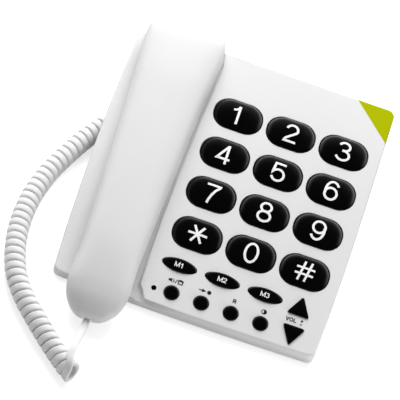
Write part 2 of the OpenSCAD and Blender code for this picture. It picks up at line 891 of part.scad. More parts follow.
module board_screws() {
    color("silver") {
        for (x = main_post_x, y = main_post_y)
            translate([x, y, main_board_z + board_t]) {
                cylinder(r = 2, h = 1.2);
                translate([0, 0, -4])
                    cylinder(r = 0.85, h = 4 + eps);
            }
        for (x = board_boss_x, l = board_boss_l)
            on_panel(x, l)
                translate([0, 0, -mat_depth_at(l) - mat_t - board_t]) {
                    translate([0, 0, -1.3])
                        cylinder(r = 2, h = 1.2);
                    translate([0, 0, -0.1 - eps])
                        cylinder(r = 0.85, h = 3);
                }
    }
}

module ringer() {
    color("darkslategray")
        translate([ringer_x, ringer_y, floor_z])
            difference() {
                cylinder(r = ringer_r, h = ringer_h);
                translate([0, 0, -1])
                    cylinder(r = ringer_r * 0.7, h = 3);
            }
}

module line_jack() {
    color("gray")
        at_line_jack()
            difference() {
                translate([-line_jack_w / 2, 0, -jack_h / 2])
                    cube([line_jack_w, jack_l, jack_h]);
                translate([-line_plug_w / 2 - plug_gap, -eps, -plug_h / 2 - plug_gap])
                    cube([line_plug_w + 2 * plug_gap, plug_in + eps, plug_h + 2 * plug_gap]);
            }
}

module handset_cord_jack() {
    color("gray")
        at_cord_jack()
            jack_shape();
}

module base_plug() {
    color("white")
        at_cord_jack()
            plug_shape();
}

hook_contact_w = -7.9;
hook_top = handset_z + (hook_y - handset_y) * tan(handset_slope) + hook_contact_w / cos(handset_slope)
    - rest_gap - 0.2;
hook_flange_z = panel_z(hook_y) - cradle_drop - wall - hook_travel - 2.6;
hook_switch_top = 14;
hook_switch_w = 14;
hook_switch_l = 12;

module hook_switch() {
    color("black")
        translate([hook_x - hook_switch_w / 2, hook_y - hook_switch_l / 2, floor_z])
            cube([hook_switch_w, hook_switch_l, hook_switch_top - floor_z]);
}

module hook_spring() {
    color("silver")
        translate([hook_x, hook_y, hook_switch_top])
            difference() {
                cylinder(r = 4.2, h = hook_flange_z - hook_switch_top);
                translate([0, 0, -1])
                    cylinder(r = 3.2, h = hook_flange_z - hook_switch_top + 2);
            }
}

module hook_plunger() {
    color("white")
        translate([hook_x, hook_y, 0]) {
            intersection() {
                translate([0, 0, hook_flange_z])
                    cylinder(r = hook_r, h = hook_top - hook_flange_z);
                translate([0, 0, hook_top - 2 * hook_r])
                    sphere(2 * hook_r);
            }
            translate([0, 0, hook_flange_z])
                cylinder(r = hook_r + 1.6, h = 1.4);
            translate([0, 0, hook_switch_top + 0.3])
                cylinder(r = 2.4, h = hook_flange_z - hook_switch_top);
        }
}

module ringer_switch() {
    color("black")
        translate([switch_x - 6, rear_y - wall - 5.3, switch_z - 4])
            cube([16, 5, 8]);
}

module ringer_switch_knob() {
    color("dimgray")
        translate([switch_x - knob_w / 2, rear_y - wall - 0.2, switch_z - knob_h / 2])
            cube([knob_w, wall + 1.4, knob_h]);
}

module rubber_feet() {
    color("dimgray")
        for (x = [-foot_x, foot_x], y = [-foot_y, foot_y])
            translate([x, y, 0])
                cylinder(r = foot_r - 0.1, h = foot_h + foot_in);
}

module housing_screws() {
    color("silver")
        for (x = [-boss_x, boss_x], y = boss_y)
            translate([x, y, foot_h]) {
                cylinder(r = 2.2, h = 1.2);
                cylinder(r = screw_r - 0.25, h = seam_z + 3 - foot_h);
            }
}

// ---------------------------------------------------------------- cord

// The cords' routes are laid out for a base of this width, and move with its left side.
route_base_w = 168;
left_shift = [(route_base_w - base_w) / 2, 0, 0];

// The curly stretch's middle line on the table, from the base's end to the handset's end.
CURL_ROUTE = [
    [-82, 33], [-86, 26], [-92, 15], [-97, 3], [-102, -10], [-106, -23], [-109, -39], [-110, -55],
    [-109, -71], [-106, -86], [-101, -100], [-93, -113], [-83, -124.5], [-73, -135], [-67, -141],
    [-61.5, -146.2], [-55.5, -151.6], [-49.2, -156.6]
];
route_steps = 8;
ring_sides = 6;
rings_per_curl = 8;

// A smooth curve through points, with a number of steps between two of them.
function smooth(points, steps) = [
    for (k = [0:(len(points) - 1) * steps])
        let (i = min(floor(k / steps), len(points) - 2), f = k / steps - i,
             b = points[i], c = points[i + 1],
             a = i > 0 ? points[i - 1] : 2 * b - c,
             d = i < len(points) - 2 ? points[i + 2] : 2 * c - b)
        (2 * b + (c - a) * f + (2 * a - 5 * b + 4 * c - d) * f * f + (3 * b - a - 3 * c + d) * f * f * f) / 2
];
function unit(v) = v / norm(v);

curl_line = smooth(CURL_ROUTE, route_steps);
curl_sums = [
    for (i = 0, sum = 0; i < len(curl_line); i = i + 1,
         sum = sum + (i < len(curl_line) ? norm(curl_line[i] - curl_line[i - 1]) : 0)) sum
];
curl_length = curl_sums[len(curl_sums) - 1];
curl_x_table = [for (i = [0:len(curl_line) - 1]) [curl_sums[i], curl_line[i][0]]];
curl_y_table = [for (i = [0:len(curl_line) - 1]) [curl_sums[i], curl_line[i][1]]];
function curl_axis(s) = [lookup(s, curl_x_table) + left_shift[0], lookup(s, curl_y_table)];
function curl_heading(s) =
    unit(curl_axis(min(s + 2, curl_length)) - curl_axis(max(s - 2, 0)));

curls = round(curl_length / curl_pitch - 0.5) + 0.5;
curl_mid_r = (curl_d - cord_t) / 2;
curl_rings = curls * rings_per_curl;

// In its last turn the cord rises, and in its last quarter turn it runs back over the curls.
rise_rings = rings_per_curl * 0.4;
back_rings = rings_per_curl / 4;
tail_rise = cord_t + 2;
tail_back = 6.5;
back_power = 2.5;

function last_share(k, rings) = min(max((k - curl_rings + rings) / rings, 0), 1);
function rise_at(k) = let (e = last_share(k, rise_rings)) tail_rise * e * e * (3 - 2 * e);
function back_at(k) = tail_back * pow(last_share(k, back_rings), back_power);

// A point on the curl and the direction from its middle line outwards, at ring number k.
function curl_out(k) =
    let (t = curl_heading(curl_length * k / curl_rings), phi = -90 + 360 * k / rings_per_curl,
         turn = atan2(-t[0], t[1]))
    [cos(turn) * cos(phi), sin(turn) * cos(phi), sin(phi)];
function curl_point(k) =
    let (s = curl_length * k / curl_rings, c = curl_axis(s) - back_at(k) * curl_heading(s))
    [c[0], c[1], curl_d / 2 + rise_at(k)] + curl_mid_r * curl_out(k);
function curl_start_dir() = let (v = curl_point(0) - curl_point(0.05)) unit([v[0], v[1], 0]);
curl_end_dir = [0, 1, 0];

curl_start = curl_point(0) + cord_d * curl_start_dir();
curl_end = curl_point(curl_rings) + cord_d * curl_end_dir;

// The flat cord's section about p, square to the direction t, with its thin side along out.
function ring(p, t, out, sides) =
    let (n1 = unit(out - (out * t) * t), n2 = cross(t, n1))
    [for (j = [0:sides - 1]) let (a = 360 * (j + 0.5) / sides)
        p + cord_t / 2 * flat_power(cos(a)) * n1 + cord_d / 2 * flat_power(sin(a)) * n2];
function flat_power(x) = sign(x) * sqrt(abs(x));

curl_ring_list = concat(
    [ring(curl_start, -curl_start_dir(), curl_out(0), ring_sides)],
    [for (k = [0:curl_rings])
        let (t = k == 0 ? -curl_start_dir() : k == curl_rings ? curl_end_dir
             : unit(curl_point(k + 0.5) - curl_point(k - 0.5)))
        ring(curl_point(k), t, curl_out(k), ring_sides)],
    [ring(curl_end, curl_end_dir, curl_out(curl_rings), ring_sides)]
);

// The least gap of the curls to themselves, from the points of rings at least half a curl apart.
curl_self_gap = min([
    for (i = [0:len(curl_ring_list) - 1], k = [4:20])
        if (i + k < len(curl_ring_list))
            for (p = curl_ring_list[i], q = curl_ring_list[i + k]) norm(p - q)
]);
echo(curls = curls, curl_self_gap = curl_self_gap);

module curly_cord() color("white") loft(curl_ring_list);

// The straight stretches: their points between the ends that they share with the curls and plugs.
HANDSET_ROUTE = [[-54.1, -141.5, 15.3], [-53.8, -134.5, 13.1], [-53.3, -127.5, 10.4], [-52.8, -121, 8.1]];
BASE_ROUTE = [
    [-74.6, 29.6, 1.4], [-72.4, 27, 1.7], [-71.2, 24, 2.3], [-71, 21, 3.1], [-71.8, 17.5, 4.4],
    [-73.6, 13.5, 6.1], [-75.8, 9.8, 7.6], [-77.6, 7, 8.6]
];
function shifted(points) = [for (p = points) p + left_shift];
handset_cord_end = handset_to_base(handset_jack_u - plug_back, handset_jack_w);
base_cord_end = [cord_jack_x, pocket_y0 + plug_back, cord_jack_z];
handset_axis = [0, cos(handset_slope), sin(handset_slope)];
straight_sides = 8;

function sweep_rings(points, first, last) = [
    for (i = [0:len(points) - 1])
        let (t = i == 0 ? first : i == len(points) - 1 ? last : unit(points[i + 1] - points[i - 1]))
        ring(points[i], t, [0, 0, 1], straight_sides)
];

handset_cord_points = concat(
    [curl_end],
    smooth(concat([curl_end + 1.5 * curl_end_dir], shifted(HANDSET_ROUTE),
                  [handset_cord_end - cord_d * handset_axis]), 2),
    [handset_cord_end]
);
base_cord_points = concat(
    [curl_start],
    smooth(concat([curl_start + 1.5 * curl_start_dir()], shifted(BASE_ROUTE),
                  [base_cord_end + [0, 2, 0]]), 2),
    [base_cord_end]
);

module handset_cord() color("white") loft(sweep_rings(handset_cord_points, curl_end_dir, handset_axis));
module base_cord() color("white") loft(sweep_rings(base_cord_points, curl_start_dir(), [0, -1, 0]));

// ---------------------------------------------------------------- drawing

upper_housing();
lower_housing();
ring_indicator_lens();
in_use_light();
keypad_board();
keypad_mat();
main_board();
ringer();
line_jack();
handset_cord_jack();
hook_switch();
hook_plunger();
hook_spring();
ringer_switch();
ringer_switch_knob();
rubber_feet();
housing_screws();
board_screws();
dial_key(0, 0);  // key_1
dial_key(0, 1);  // key_2
dial_key(0, 2);  // key_3
dial_key(1, 0);  // key_4
dial_key(1, 1);  // key_5
dial_key(1, 2);  // key_6
dial_key(2, 0);  // key_7
dial_key(2, 1);  // key_8
dial_key(2, 2);  // key_9
dial_key(3, 0);  // key_star
dial_key(3, 1);  // key_0
dial_key(3, 2);  // key_hash
memory_key(0);  // key_m1
memory_key(1);  // key_m2
memory_key(2);  // key_m3
round_key(0);  // key_ringer
round_key(1);  // key_redial
round_key(2);  // key_recall
round_key(3);  // key_mute
volume_up_key();  // key_volume_up
volume_down_key();  // key_volume_down
handset_outer_shell();
handset_inner_shell();
receiver_capsule();
microphone_capsule();
handset_weight();
handset_jack();
handset_screws();
handset_plug();
handset_cord();
curly_cord();
base_cord();
base_plug();
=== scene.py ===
"""A corded landline phone with large keys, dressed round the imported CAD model.

Sizes are in millimetres until mm(). The stage, the lamps and the materials' bumps are in metres.
"""
import math

import bmesh
import bpy
from mathutils import Matrix, Vector


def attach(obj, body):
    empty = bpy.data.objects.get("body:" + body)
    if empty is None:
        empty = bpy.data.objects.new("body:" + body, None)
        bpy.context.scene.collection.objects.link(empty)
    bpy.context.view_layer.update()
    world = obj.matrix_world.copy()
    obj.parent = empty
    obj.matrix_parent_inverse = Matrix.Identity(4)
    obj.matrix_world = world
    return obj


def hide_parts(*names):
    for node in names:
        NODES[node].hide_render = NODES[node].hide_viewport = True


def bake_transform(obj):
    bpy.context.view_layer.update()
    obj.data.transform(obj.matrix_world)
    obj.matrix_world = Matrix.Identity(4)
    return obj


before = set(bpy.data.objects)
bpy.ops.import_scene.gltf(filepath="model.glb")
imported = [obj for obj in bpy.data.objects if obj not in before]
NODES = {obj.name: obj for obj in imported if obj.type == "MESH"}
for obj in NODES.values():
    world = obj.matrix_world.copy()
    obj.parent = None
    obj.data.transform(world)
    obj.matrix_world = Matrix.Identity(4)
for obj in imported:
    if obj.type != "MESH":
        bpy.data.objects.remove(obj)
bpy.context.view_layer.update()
MM = 0.001


def mm(*values):
    """A vector in metres from millimetres."""
    return Vector([v * MM for v in values])


def add_object(name, data):
    """A new object of the data, linked to the scene."""
    thing = bpy.data.objects.new(name, data)
    bpy.context.scene.collection.objects.link(thing)
    return thing


# ---------------------------------------------------------------- camera

CAMERA_TARGET = (-12.7, -11.2, 20)
CAMERA_DISTANCE = 2290
CAMERA_ELEVATION = 50
CAMERA_ROLL = 19.09
LENS = 341.5
SENSOR = 36
CLIP_END_METRES = 20


def make_camera():
    """A camera with a long lens, in front of and above the phone and rolled to one side."""
    elevation = math.radians(CAMERA_ELEVATION)
    roll = math.radians(CAMERA_ROLL)
    forward = Vector((0, math.cos(elevation), -math.sin(elevation)))
    right = Vector((1, 0, 0))
    up = Vector((0, math.sin(elevation), math.cos(elevation)))
    local_x = math.cos(roll) * right + math.sin(roll) * up
    local_y = -math.sin(roll) * right + math.cos(roll) * up
    data = bpy.data.cameras.new("camera")
    data.lens = LENS
    data.sensor_width = SENSOR
    data.clip_end = CLIP_END_METRES
    camera = add_object("camera", data)
    place = mm(*CAMERA_TARGET) - forward * CAMERA_DISTANCE * MM
    camera.matrix_world = Matrix((
        (local_x.x, local_y.x, -forward.x, place.x),
        (local_x.y, local_y.y, -forward.y, place.y),
        (local_x.z, local_y.z, -forward.z, place.z),
        (0, 0, 0, 1)))
    bpy.context.scene.camera = camera


make_camera()

# ---------------------------------------------------------------- meshes


def new_object(name, vertices, faces, smooth=True):
    mesh = bpy.data.meshes.new(name)
    mesh.from_pydata([tuple(v) for v in vertices], [], faces)
    mesh.validate()
    if smooth:
        mesh.shade_smooth()
    return add_object(name, mesh)


def edit_mesh(piece, edit):
    """Hands the piece's mesh to edit as a bmesh and writes it back."""
    b = bmesh.new()
    b.from_mesh(piece.data)
    edit(b)
    b.to_mesh(piece.data)
    b.free()


def outward(piece):
    """Turns all faces of a closed piece outwards."""
    edit_mesh(piece, lambda b: bmesh.ops.recalc_face_normals(b, faces=b.faces))


def loft(name, rings):
    """A closed skin through rings of equally many points; its ends meet in their middle points."""
    count = len(rings[0])
    vertices = [point for ring in rings for point in ring]
    faces = []
    for i in range(len(rings) - 1):
        a, b = i * count, (i + 1) * count
        for j in range(count):
            k = (j + 1) % count
            faces.append((a + j, a + k, b + k, b + j))
    for start, is_last in ((0, False), ((len(rings) - 1) * count, True)):
        middle = len(vertices)
        ring = vertices[start:start + count]
        vertices.append(sum((Vector(p) for p in ring), Vector()) / count)
        for j in range(count):
            a, b = start + j, start + (j + 1) % count
            faces.append((middle, a, b) if is_last else (middle, b, a))
    piece = new_object(name, vertices, faces)
    outward(piece)
    return piece


def sharpen(piece, degrees):
    """Smooth shading that keeps the edges sharper than an angle."""
    piece.data.shade_smooth()
    piece.data.set_sharp_from_angle(angle=math.radians(degrees))


def apply_modifiers(piece):
    """Makes the mesh what the modifiers make of it."""
    graph = bpy.context.evaluated_depsgraph_get()
    mesh = bpy.data.meshes.new_from_object(piece.evaluated_get(graph))
    piece.modifiers.clear()
    piece.data = mesh


def cut(piece, cutters):
    """Takes the cutters away from the piece and deletes them."""
    for cutter in cutters:
        modifier = piece.modifiers.new("cut", "BOOLEAN")
        modifier.operation = "DIFFERENCE"
        modifier.solver = "EXACT"
        modifier.object = cutter
    apply_modifiers(piece)
    for cutter in cutters:
        bpy.data.objects.remove(cutter)


# ---------------------------------------------------------------- curves


def catmull_rom(a, b, c, d, f):
    """The place at share f of the way from b to c, on the smooth curve through a, b, c and d."""
    return (2 * b + (c - a) * f + (2 * a - 5 * b + 4 * c - d) * f ** 2
            + (3 * b - a - 3 * c + d) * f ** 3) / 2


def smooth_line(points, steps):
    """A Catmull-Rom curve through points, with a number of steps between two of them."""
    points = [Vector(p) for p in points]
    padded = [2 * points[0] - points[1]] + points + [2 * points[-1] - points[-2]]
    line = []
    for i in range(len(points) - 1):
        line += [catmull_rom(*padded[i:i + 4], k / steps) for k in range(steps)]
    return line + [points[-1]]


def signed_power(x, exponent):
    """A power that keeps the sign; on a sine and cosine it makes a circle squarer."""
    return math.copysign(abs(x) ** exponent, x)


# ---------------------------------------------------------------- cord

CORD_WIDTH = 4.4
CORD_THICKNESS = 2.5
CORD_POWER = 0.5
CORD_SIDES = 16
CORD_EDGE = 60

CURL_DIAMETER = 13
CURL_PITCH = 5.3
CURL_ROUTE = [
    (-82, 33), (-86, 26), (-92, 15), (-97, 3), (-102, -10), (-106, -23), (-109, -39), (-110, -55),
    (-109, -71), (-106, -86), (-101, -100), (-93, -113), (-83, -124.5), (-73, -135), (-67, -141),
    (-61.5, -146.2), (-55.5, -151.6), (-49.2, -156.6),
]
CURL_ROUTE_STEPS = 8
RINGS_PER_CURL = 24
LAST_PART_OF_CURL = 0.5
HEADING_REACH = 2
ROUND_OFF = 1e-9

# The coil's last rings rise off the table and lean back to meet the cord that goes to the handset.
RISE_RINGS = RINGS_PER_CURL * 0.4
BACK_RINGS = RINGS_PER_CURL / 4
TAIL_RISE = CORD_THICKNESS + 2
TAIL_BACK = 6.5
BACK_POWER = 2.5

HANDSET_SLOPE = 9.5
HANDSET_ROUTE = [(-54.1, -141.5, 15.3), (-53.8, -134.5, 13.1), (-53.3, -127.5, 10.4),
                 (-52.8, -121, 8.1)]
HANDSET_CORD_END = Vector((-52.5, -111.457, 7.995))
BASE_ROUTE = [
    (-74.6, 29.6, 1.4), (-72.4, 27, 1.7), (-71.2, 24, 2.3), (-71, 21, 3.1), (-71.8, 17.5, 4.4),
    (-73.6, 13.5, 6.1), (-75.8, 9.8, 7.6), (-77.6, 7, 8.6),
]
BASE_CORD_END = Vector((-78.75, 3, 9))
BASE_CORD_LEAD = Vector((0, 2, 0))
CURL_LEAD = 1.5
STRAIGHT_STEPS = 6
START_RINGS = 0.15


def cord_ring(p, t, out):
    """The flat cord's section about p, square to t, with its thin side along out."""
    n1 = (out - out.dot(t) * t).normalized()
    n2 = t.cross(n1)
    ring = []
    for j in range(CORD_SIDES):
        a = 2 * math.pi * (j + 0.5) / CORD_SIDES
        across = signed_power(math.cos(a), CORD_POWER) * CORD_THICKNESS / 2
        along = signed_power(math.sin(a), CORD_POWER) * CORD_WIDTH / 2
        ring.append(mm(*(p + across * n1 + along * n2)))
    return ring


class Curl:
    """The curly stretch: a helix of the flat cord round a line on the table."""

    def __init__(self):
        self.line = smooth_line(CURL_ROUTE, CURL_ROUTE_STEPS)
        self.sums = [0.0]
        for a, b in zip(self.line, self.line[1:]):
            self.sums.append(self.sums[-1] + (b - a).length)
        self.length = self.sums[-1]
        curls = math.floor(self.length / CURL_PITCH) + LAST_PART_OF_CURL
        self.count = round(curls * RINGS_PER_CURL)
        self.radius = (CURL_DIAMETER - CORD_THICKNESS) / 2

    def axis(self, s):
        """The place on the table under the coil's middle, at a length s along the line."""
        s = min(max(s, 0), self.length)
        i = next(i for i in range(1, len(self.sums)) if s <= self.sums[i] + ROUND_OFF)
        f = (s - self.sums[i - 1]) / (self.sums[i] - self.sums[i - 1])
        return self.line[i - 1].lerp(self.line[i], f)

    def heading(self, s):
        return (self.axis(s + HEADING_REACH) - self.axis(s - HEADING_REACH)).normalized()

    def last_share(self, k, rings):
        """How far ring k is into the last few rings, from 0 to 1."""
        return min(max((k - self.count + rings) / rings, 0), 1)

    def out(self, k):
        """The direction from the coil's middle to ring k."""
        t = self.heading(self.length * k / self.count)
        phi = -math.pi / 2 + 2 * math.pi * k / RINGS_PER_CURL
        turn = math.atan2(-t.x, t.y)
        return Vector((math.cos(turn) * math.cos(phi), math.sin(turn) * math.cos(phi),
                       math.sin(phi)))

    def point(self, k):
        """The middle of ring k."""
        s = self.length * k / self.count
        e = self.last_share(k, RISE_RINGS)
        rise = TAIL_RISE * e * e * (3 - 2 * e)
        back = TAIL_BACK * self.last_share(k, BACK_RINGS) ** BACK_POWER
        c = self.axis(s) - back * self.heading(s)
        return Vector((c.x, c.y, CURL_DIAMETER / 2 + rise)) + self.radius * self.out(k)


def level(v):
    """The direction of v along the table."""
    return Vector((v.x, v.y, 0)).normalized()


curl = Curl()
curl_start_dir = level(curl.point(0) - curl.point(START_RINGS))
curl_end_dir = Vector((0, 1, 0))
curl_start = curl.point(0) + CORD_WIDTH * curl_start_dir
curl_end = curl.point(curl.count) + CORD_WIDTH * curl_end_dir
handset_axis = Vector((0, math.cos(math.radians(HANDSET_SLOPE)),
                       math.sin(math.radians(HANDSET_SLOPE))))


def make_curly_cord():
    """The coil with a short straight end at each side; gives the piece and its path."""
    rings = [cord_ring(curl_start, -curl_start_dir, curl.out(0))]
    path = [curl_start]
    for k in range(curl.count + 1):
        p = curl.point(k)
        if k == 0:
            t = -curl_start_dir
        elif k == curl.count:
            t = curl_end_dir
        else:
            t = (curl.point(k + 0.5) - curl.point(k - 0.5)).normalized()
        rings.append(cord_ring(p, t, curl.out(k)))
        path.append(p)
    rings.append(cord_ring(curl_end, curl_end_dir, curl.out(curl.count)))
    path.append(curl_end)
    return loft("curly_cord_skin", rings), path


def sweep(name, points, first, last):
    """The flat cord along points, lying with its thin side up."""
    rings = []
    for i, p in enumerate(points):
        if i == 0:
            t = first
        elif i == len(points) - 1:
            t = last
        else:
            t = (points[i + 1] - points[i - 1]).normalized()
        rings.append(cord_ring(p, t, Vector((0, 0, 1))))
    return loft(name, rings)


def declare_cord(piece, path, node, **facts):
    """Hides the CAD node that a cord stands for."""
    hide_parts(node)


curly_piece, curly_path = make_curly_cord()
base_path = [curl_start] + smooth_line(
    [curl_start + CURL_LEAD * curl_start_dir] + [Vector(p) for p in BASE_ROUTE]
    + [BASE_CORD_END + BASE_CORD_LEAD], STRAIGHT_STEPS) + [BASE_CORD_END]
base_piece = sweep("base_cord_skin", base_path, curl_start_dir, Vector((0, -1, 0)))
handset_path = [curl_end] + smooth_line(
    [curl_end + CURL_LEAD * curl_end_dir] + [Vector(p) for p in HANDSET_ROUTE]
    + [HANDSET_CORD_END - CORD_WIDTH * handset_axis], STRAIGHT_STEPS) + [HANDSET_CORD_END]
handset_piece = sweep("handset_cord_skin", handset_path, curl_end_dir, handset_axis)

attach(curly_piece, "base")
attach(base_piece, "base")
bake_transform(handset_piece)
declare_cord(base_piece, base_path[::-1], "base_cord", far_end="object", lay="loose",
             with_pieces=["base_plug"])
declare_cord(curly_piece, curly_path, "curly_cord", far_end="object", lay="coiled")
declare_cord(handset_piece, handset_path[::-1], "handset_cord", far_end="object", lay="loose",
             with_pieces=["handset_plug"])

# ---------------------------------------------------------------- materials

CLOUD_SCALE = 35
CLOUD_DETAIL = 4
COLOR_SPREAD = 0.025
ROUGHNESS_SPREAD = 0.08
BUMP_STRENGTH = 0.5


def noise(nodes, links, place, scale, detail):
    """A noise over the piece's own coordinates."""
    node = nodes.new("ShaderNodeTexNoise")
    node.inputs["Scale"].default_value = scale
    node.inputs["Detail"].default_value = detail
    links.new(place.outputs["Object"], node.inputs["Vector"])
    return node.outputs["Fac"]


def map_range(nodes, links, source, **limits):
    """A Map Range node on a socket; limits are named like its inputs."""
    node = nodes.new("ShaderNodeMapRange")
    for key, value in limits.items():
        node.inputs[key.replace("_", " ")].default_value = value
    links.new(source, node.inputs["Value"])
    return node.outputs["Result"]


def material(name, color, roughness, bump=None, **inputs):
    """A plastic, rubber or metal whose colour and roughness vary a little.

    bump is (scale per metre, height in metres, detail), and inputs are more Principled inputs.
    """
    m = bpy.data.materials.new(name)
    m.use_nodes = True
    nodes, links = m.node_tree.nodes, m.node_tree.links
    shader = nodes["Principled BSDF"]
    shader.inputs["Base Color"].default_value = (*color, 1)
    shader.inputs["Roughness"].default_value = roughness
    for key, value in inputs.items():
        shader.inputs[key.replace("_", " ")].default_value = value
    place = nodes.new("ShaderNodeTexCoord")
    cloud = noise(nodes, links, place, CLOUD_SCALE, CLOUD_DETAIL)
    tint = nodes.new("ShaderNodeMix")
    tint.data_type = "RGBA"
    darker, lighter = 1 - COLOR_SPREAD, 1 + COLOR_SPREAD
    tint.inputs["A"].default_value = (*[c * darker for c in color], 1)
    tint.inputs["B"].default_value = (*[min(c * lighter, 1) for c in color], 1)
    links.new(cloud, tint.inputs["Factor"])
    links.new(tint.outputs["Result"], shader.inputs["Base Color"])
    spread = map_range(nodes, links, cloud, To_Min=roughness * (1 - ROUGHNESS_SPREAD),
                       To_Max=roughness * (1 + ROUGHNESS_SPREAD))
    links.new(spread, shader.inputs["Roughness"])
    if bump:
        scale, height, detail = bump
        grain = nodes.new("ShaderNodeBump")
        grain.inputs["Distance"].default_value = height
        grain.inputs["Strength"].default_value = BUMP_STRENGTH
        links.new(noise(nodes, links, place, scale, detail), grain.inputs["Height"])
        links.new(grain.outputs["Normal"], shader.inputs["Normal"])
    return m


housing = material("housing_plastic", (0.80, 0.80, 0.80), 0.5, bump=(1800, 0.00004, 2),
                   Specular_IOR_Level=0.3)
underside = material("underside_plastic", (0.76, 0.76, 0.76), 0.5, bump=(1800, 0.00005, 2))
handset_plastic = material("handset_plastic", (0.81, 0.81, 0.81), 0.45, bump=(2200, 0.00001, 2),
                           Specular_IOR_Level=0.3)
key_plastic = material("key_plastic", (0.001, 0.001, 0.0011), 0.18, bump=(1500, 0.00001, 2),
                       Specular_IOR_Level=0.25)
print_white = material("print_white", (0.95, 0.95, 0.95), 0.5)
print_black = material("print_black", (0.01, 0.01, 0.012), 0.5)
lens_green = material("lens_green", (0.43, 0.48, 0.001), 0.35, Specular_IOR_Level=0.03)
cord_plastic = material("cord_plastic", (0.86, 0.86, 0.86), 0.4)
plug_plastic = material("plug_plastic", (0.72, 0.72, 0.70), 0.15)
jack_plastic = material("jack_plastic", (0.10, 0.10, 0.11), 0.45)
black_plastic = material("black_plastic", (0.012, 0.012, 0.013), 0.4, bump=(1500, 0.00002, 2))
mat_rubber = material("mat_rubber", (0.12, 0.12, 0.13), 0.75)
board_green = material("board_green", (0.01, 0.10, 0.03), 0.4)
steel = material("steel", (0.55, 0.55, 0.56), 0.32, Metallic=1.0)
iron = material("iron", (0.2, 0.2, 0.2), 0.6, bump=(600, 0.0001, 4), Metallic=1.0)
foot_rubber = material("foot_rubber", (0.10, 0.10, 0.10), 0.8, bump=(900, 0.00004, 3))
light_red = material("light_red", (0.004, 0.001, 0.001), 0.3, Specular_IOR_Level=0.05)

NODE_MATERIALS = {
    "upper_housing": housing, "lower_housing": underside, "ring_indicator_lens": lens_green,
    "in_use_light": light_red, "keypad_board": board_green, "keypad_mat": mat_rubber,
    "main_board": board_green, "ringer": black_plastic, "line_jack": black_plastic,
    "handset_cord_jack": underside, "hook_switch": black_plastic, "hook_plunger": housing,
    "hook_spring": steel, "ringer_switch": black_plastic, "ringer_switch_knob": black_plastic,
    "rubber_feet": foot_rubber, "housing_screws": steel, "board_screws": steel,
    "handset_inner_shell": handset_plastic, "handset_outer_shell": handset_plastic,
    "receiver_capsule": black_plastic, "microphone_capsule": steel, "handset_weight": iron,
    "handset_jack": jack_plastic, "handset_screws": steel, "handset_plug": plug_plastic,
    "base_plug": plug_plastic,
}


def paint(piece, m):
    piece.data.materials.clear()
    piece.data.materials.append(m)


for node, m in NODE_MATERIALS.items():
    paint(NODES[node], m)
for piece in (curly_piece, base_piece, handset_piece):
    paint(piece, cord_plastic)
    sharpen(piece, CORD_EDGE)

# ---------------------------------------------------------------- handset

HANDSET_PLACE = (-52.5, -8, 32)
# Each station: the place along the handset, half its width, and its top's and its seam's height.
STATIONS = [
    (-110.8, 4, -2.4, -4.2),
    (-109.4, 9, 0.4, -3.8),
    (-105.5, 13.2, 3.6, -3.4),
    (-101, 16.2, 6.2, -3),
    (-96, 18.1, 8, -2.5),
    (-88, 19.2, 10, -2),
    (-72, 18.6, 12.5, -2),
    (-55, 19.1, 13.7, -2),
    (-23, 20.1, 14.5, -2),
    (11, 21.5, 14.5, -2),
    (47, 22.9, 14, -2),
    (63, 23.9, 13.4, -2),
    (88, 25.1, 11, -2),
    (99, 23.6, 8, -2),
    (108, 18, 4, -2),
    (112, 6, 0.8, -2),
]
SECTION_POWER = 0.8
SHELL_WALL = 2.2
HOLLOW_LEAST_SHARE = 0.4
HOLLOW_FROM_HALF_WIDTH = 12
HANDSET_STEPS = 5
HANDSET_ARC = 40
SHELL_EDGE = 40

handset_matrix = (Matrix.Translation(mm(*HANDSET_PLACE))
                  @ Matrix.Rotation(math.radians(HANDSET_SLOPE), 4, "X"))


def station_rows(steps):
    """The stations with smooth ones between them, as in the CAD source."""
    rows = []
    last = len(STATIONS) - 1
    for step in range(last * steps + 1):
        v = step / steps
        i = min(int(v), last - 1)
        around = [STATIONS[n] for n in (max(i - 1, 0), i, i + 1, min(i + 2, last))]
        rows.append([catmull_rom(*four, v - i) for four in zip(*around)])
    return rows


def outer_section(row):
    """A section of the outer shell: the arc over its top, then the hollow's arc back."""
    u, half, top, seam = row
    reach = top - seam
    inner_half = max(half - SHELL_WALL, half * HOLLOW_LEAST_SHARE)
    inner_reach = max(reach - SHELL_WALL, 0) if half > HOLLOW_FROM_HALF_WIDTH else 0
    turns = [math.pi * i / HANDSET_ARC for i in range(HANDSET_ARC + 1)]
    ring = []
    for t in turns:
        ring.append((half * signed_power(math.cos(t), SECTION_POWER), u,
                     seam + reach * signed_power(math.sin(t), SECTION_POWER)))
    for t in turns[::-1]:
        ring.append((inner_half * signed_power(math.cos(t), SECTION_POWER), u,
                     seam + inner_reach * signed_power(math.sin(t), SECTION_POWER)))
    return [handset_matrix @ mm(*p) for p in ring]


def box_cutter(low, high, matrix):
    """A box to cut with, from its low to its high corner in a local frame."""
    corners = [(x, y, z) for x in (low[0], high[0]) for y in (low[1], high[1])
               for z in (low[2], high[2])]
    faces = [(0, 1, 3, 2), (4, 6, 7, 5), (0, 4, 5, 1), (2, 3, 7, 6), (0, 2, 6, 4), (1, 5, 7, 3)]
    piece = new_object("cut", [matrix @ mm(*c) for c in corners], faces, smooth=False)
    outward(piece)
    return piece


PLUG_W = 7.6
PLUG_H = 6.4
PLUG_BACK = 4
PLUG_SIDE_GAP = 1
PLUG_GAP = 0.4
JACK_WALLS = 2.5
JACK_W = PLUG_W + JACK_WALLS
JACK_H = PLUG_H + JACK_WALLS
JACK_L = 12
JACK_U = -102
JACK_DEPTH = -6.6
JACK_GAP = 0.1
BELOW_HANDSET = -20
OVERLAP = 0.01


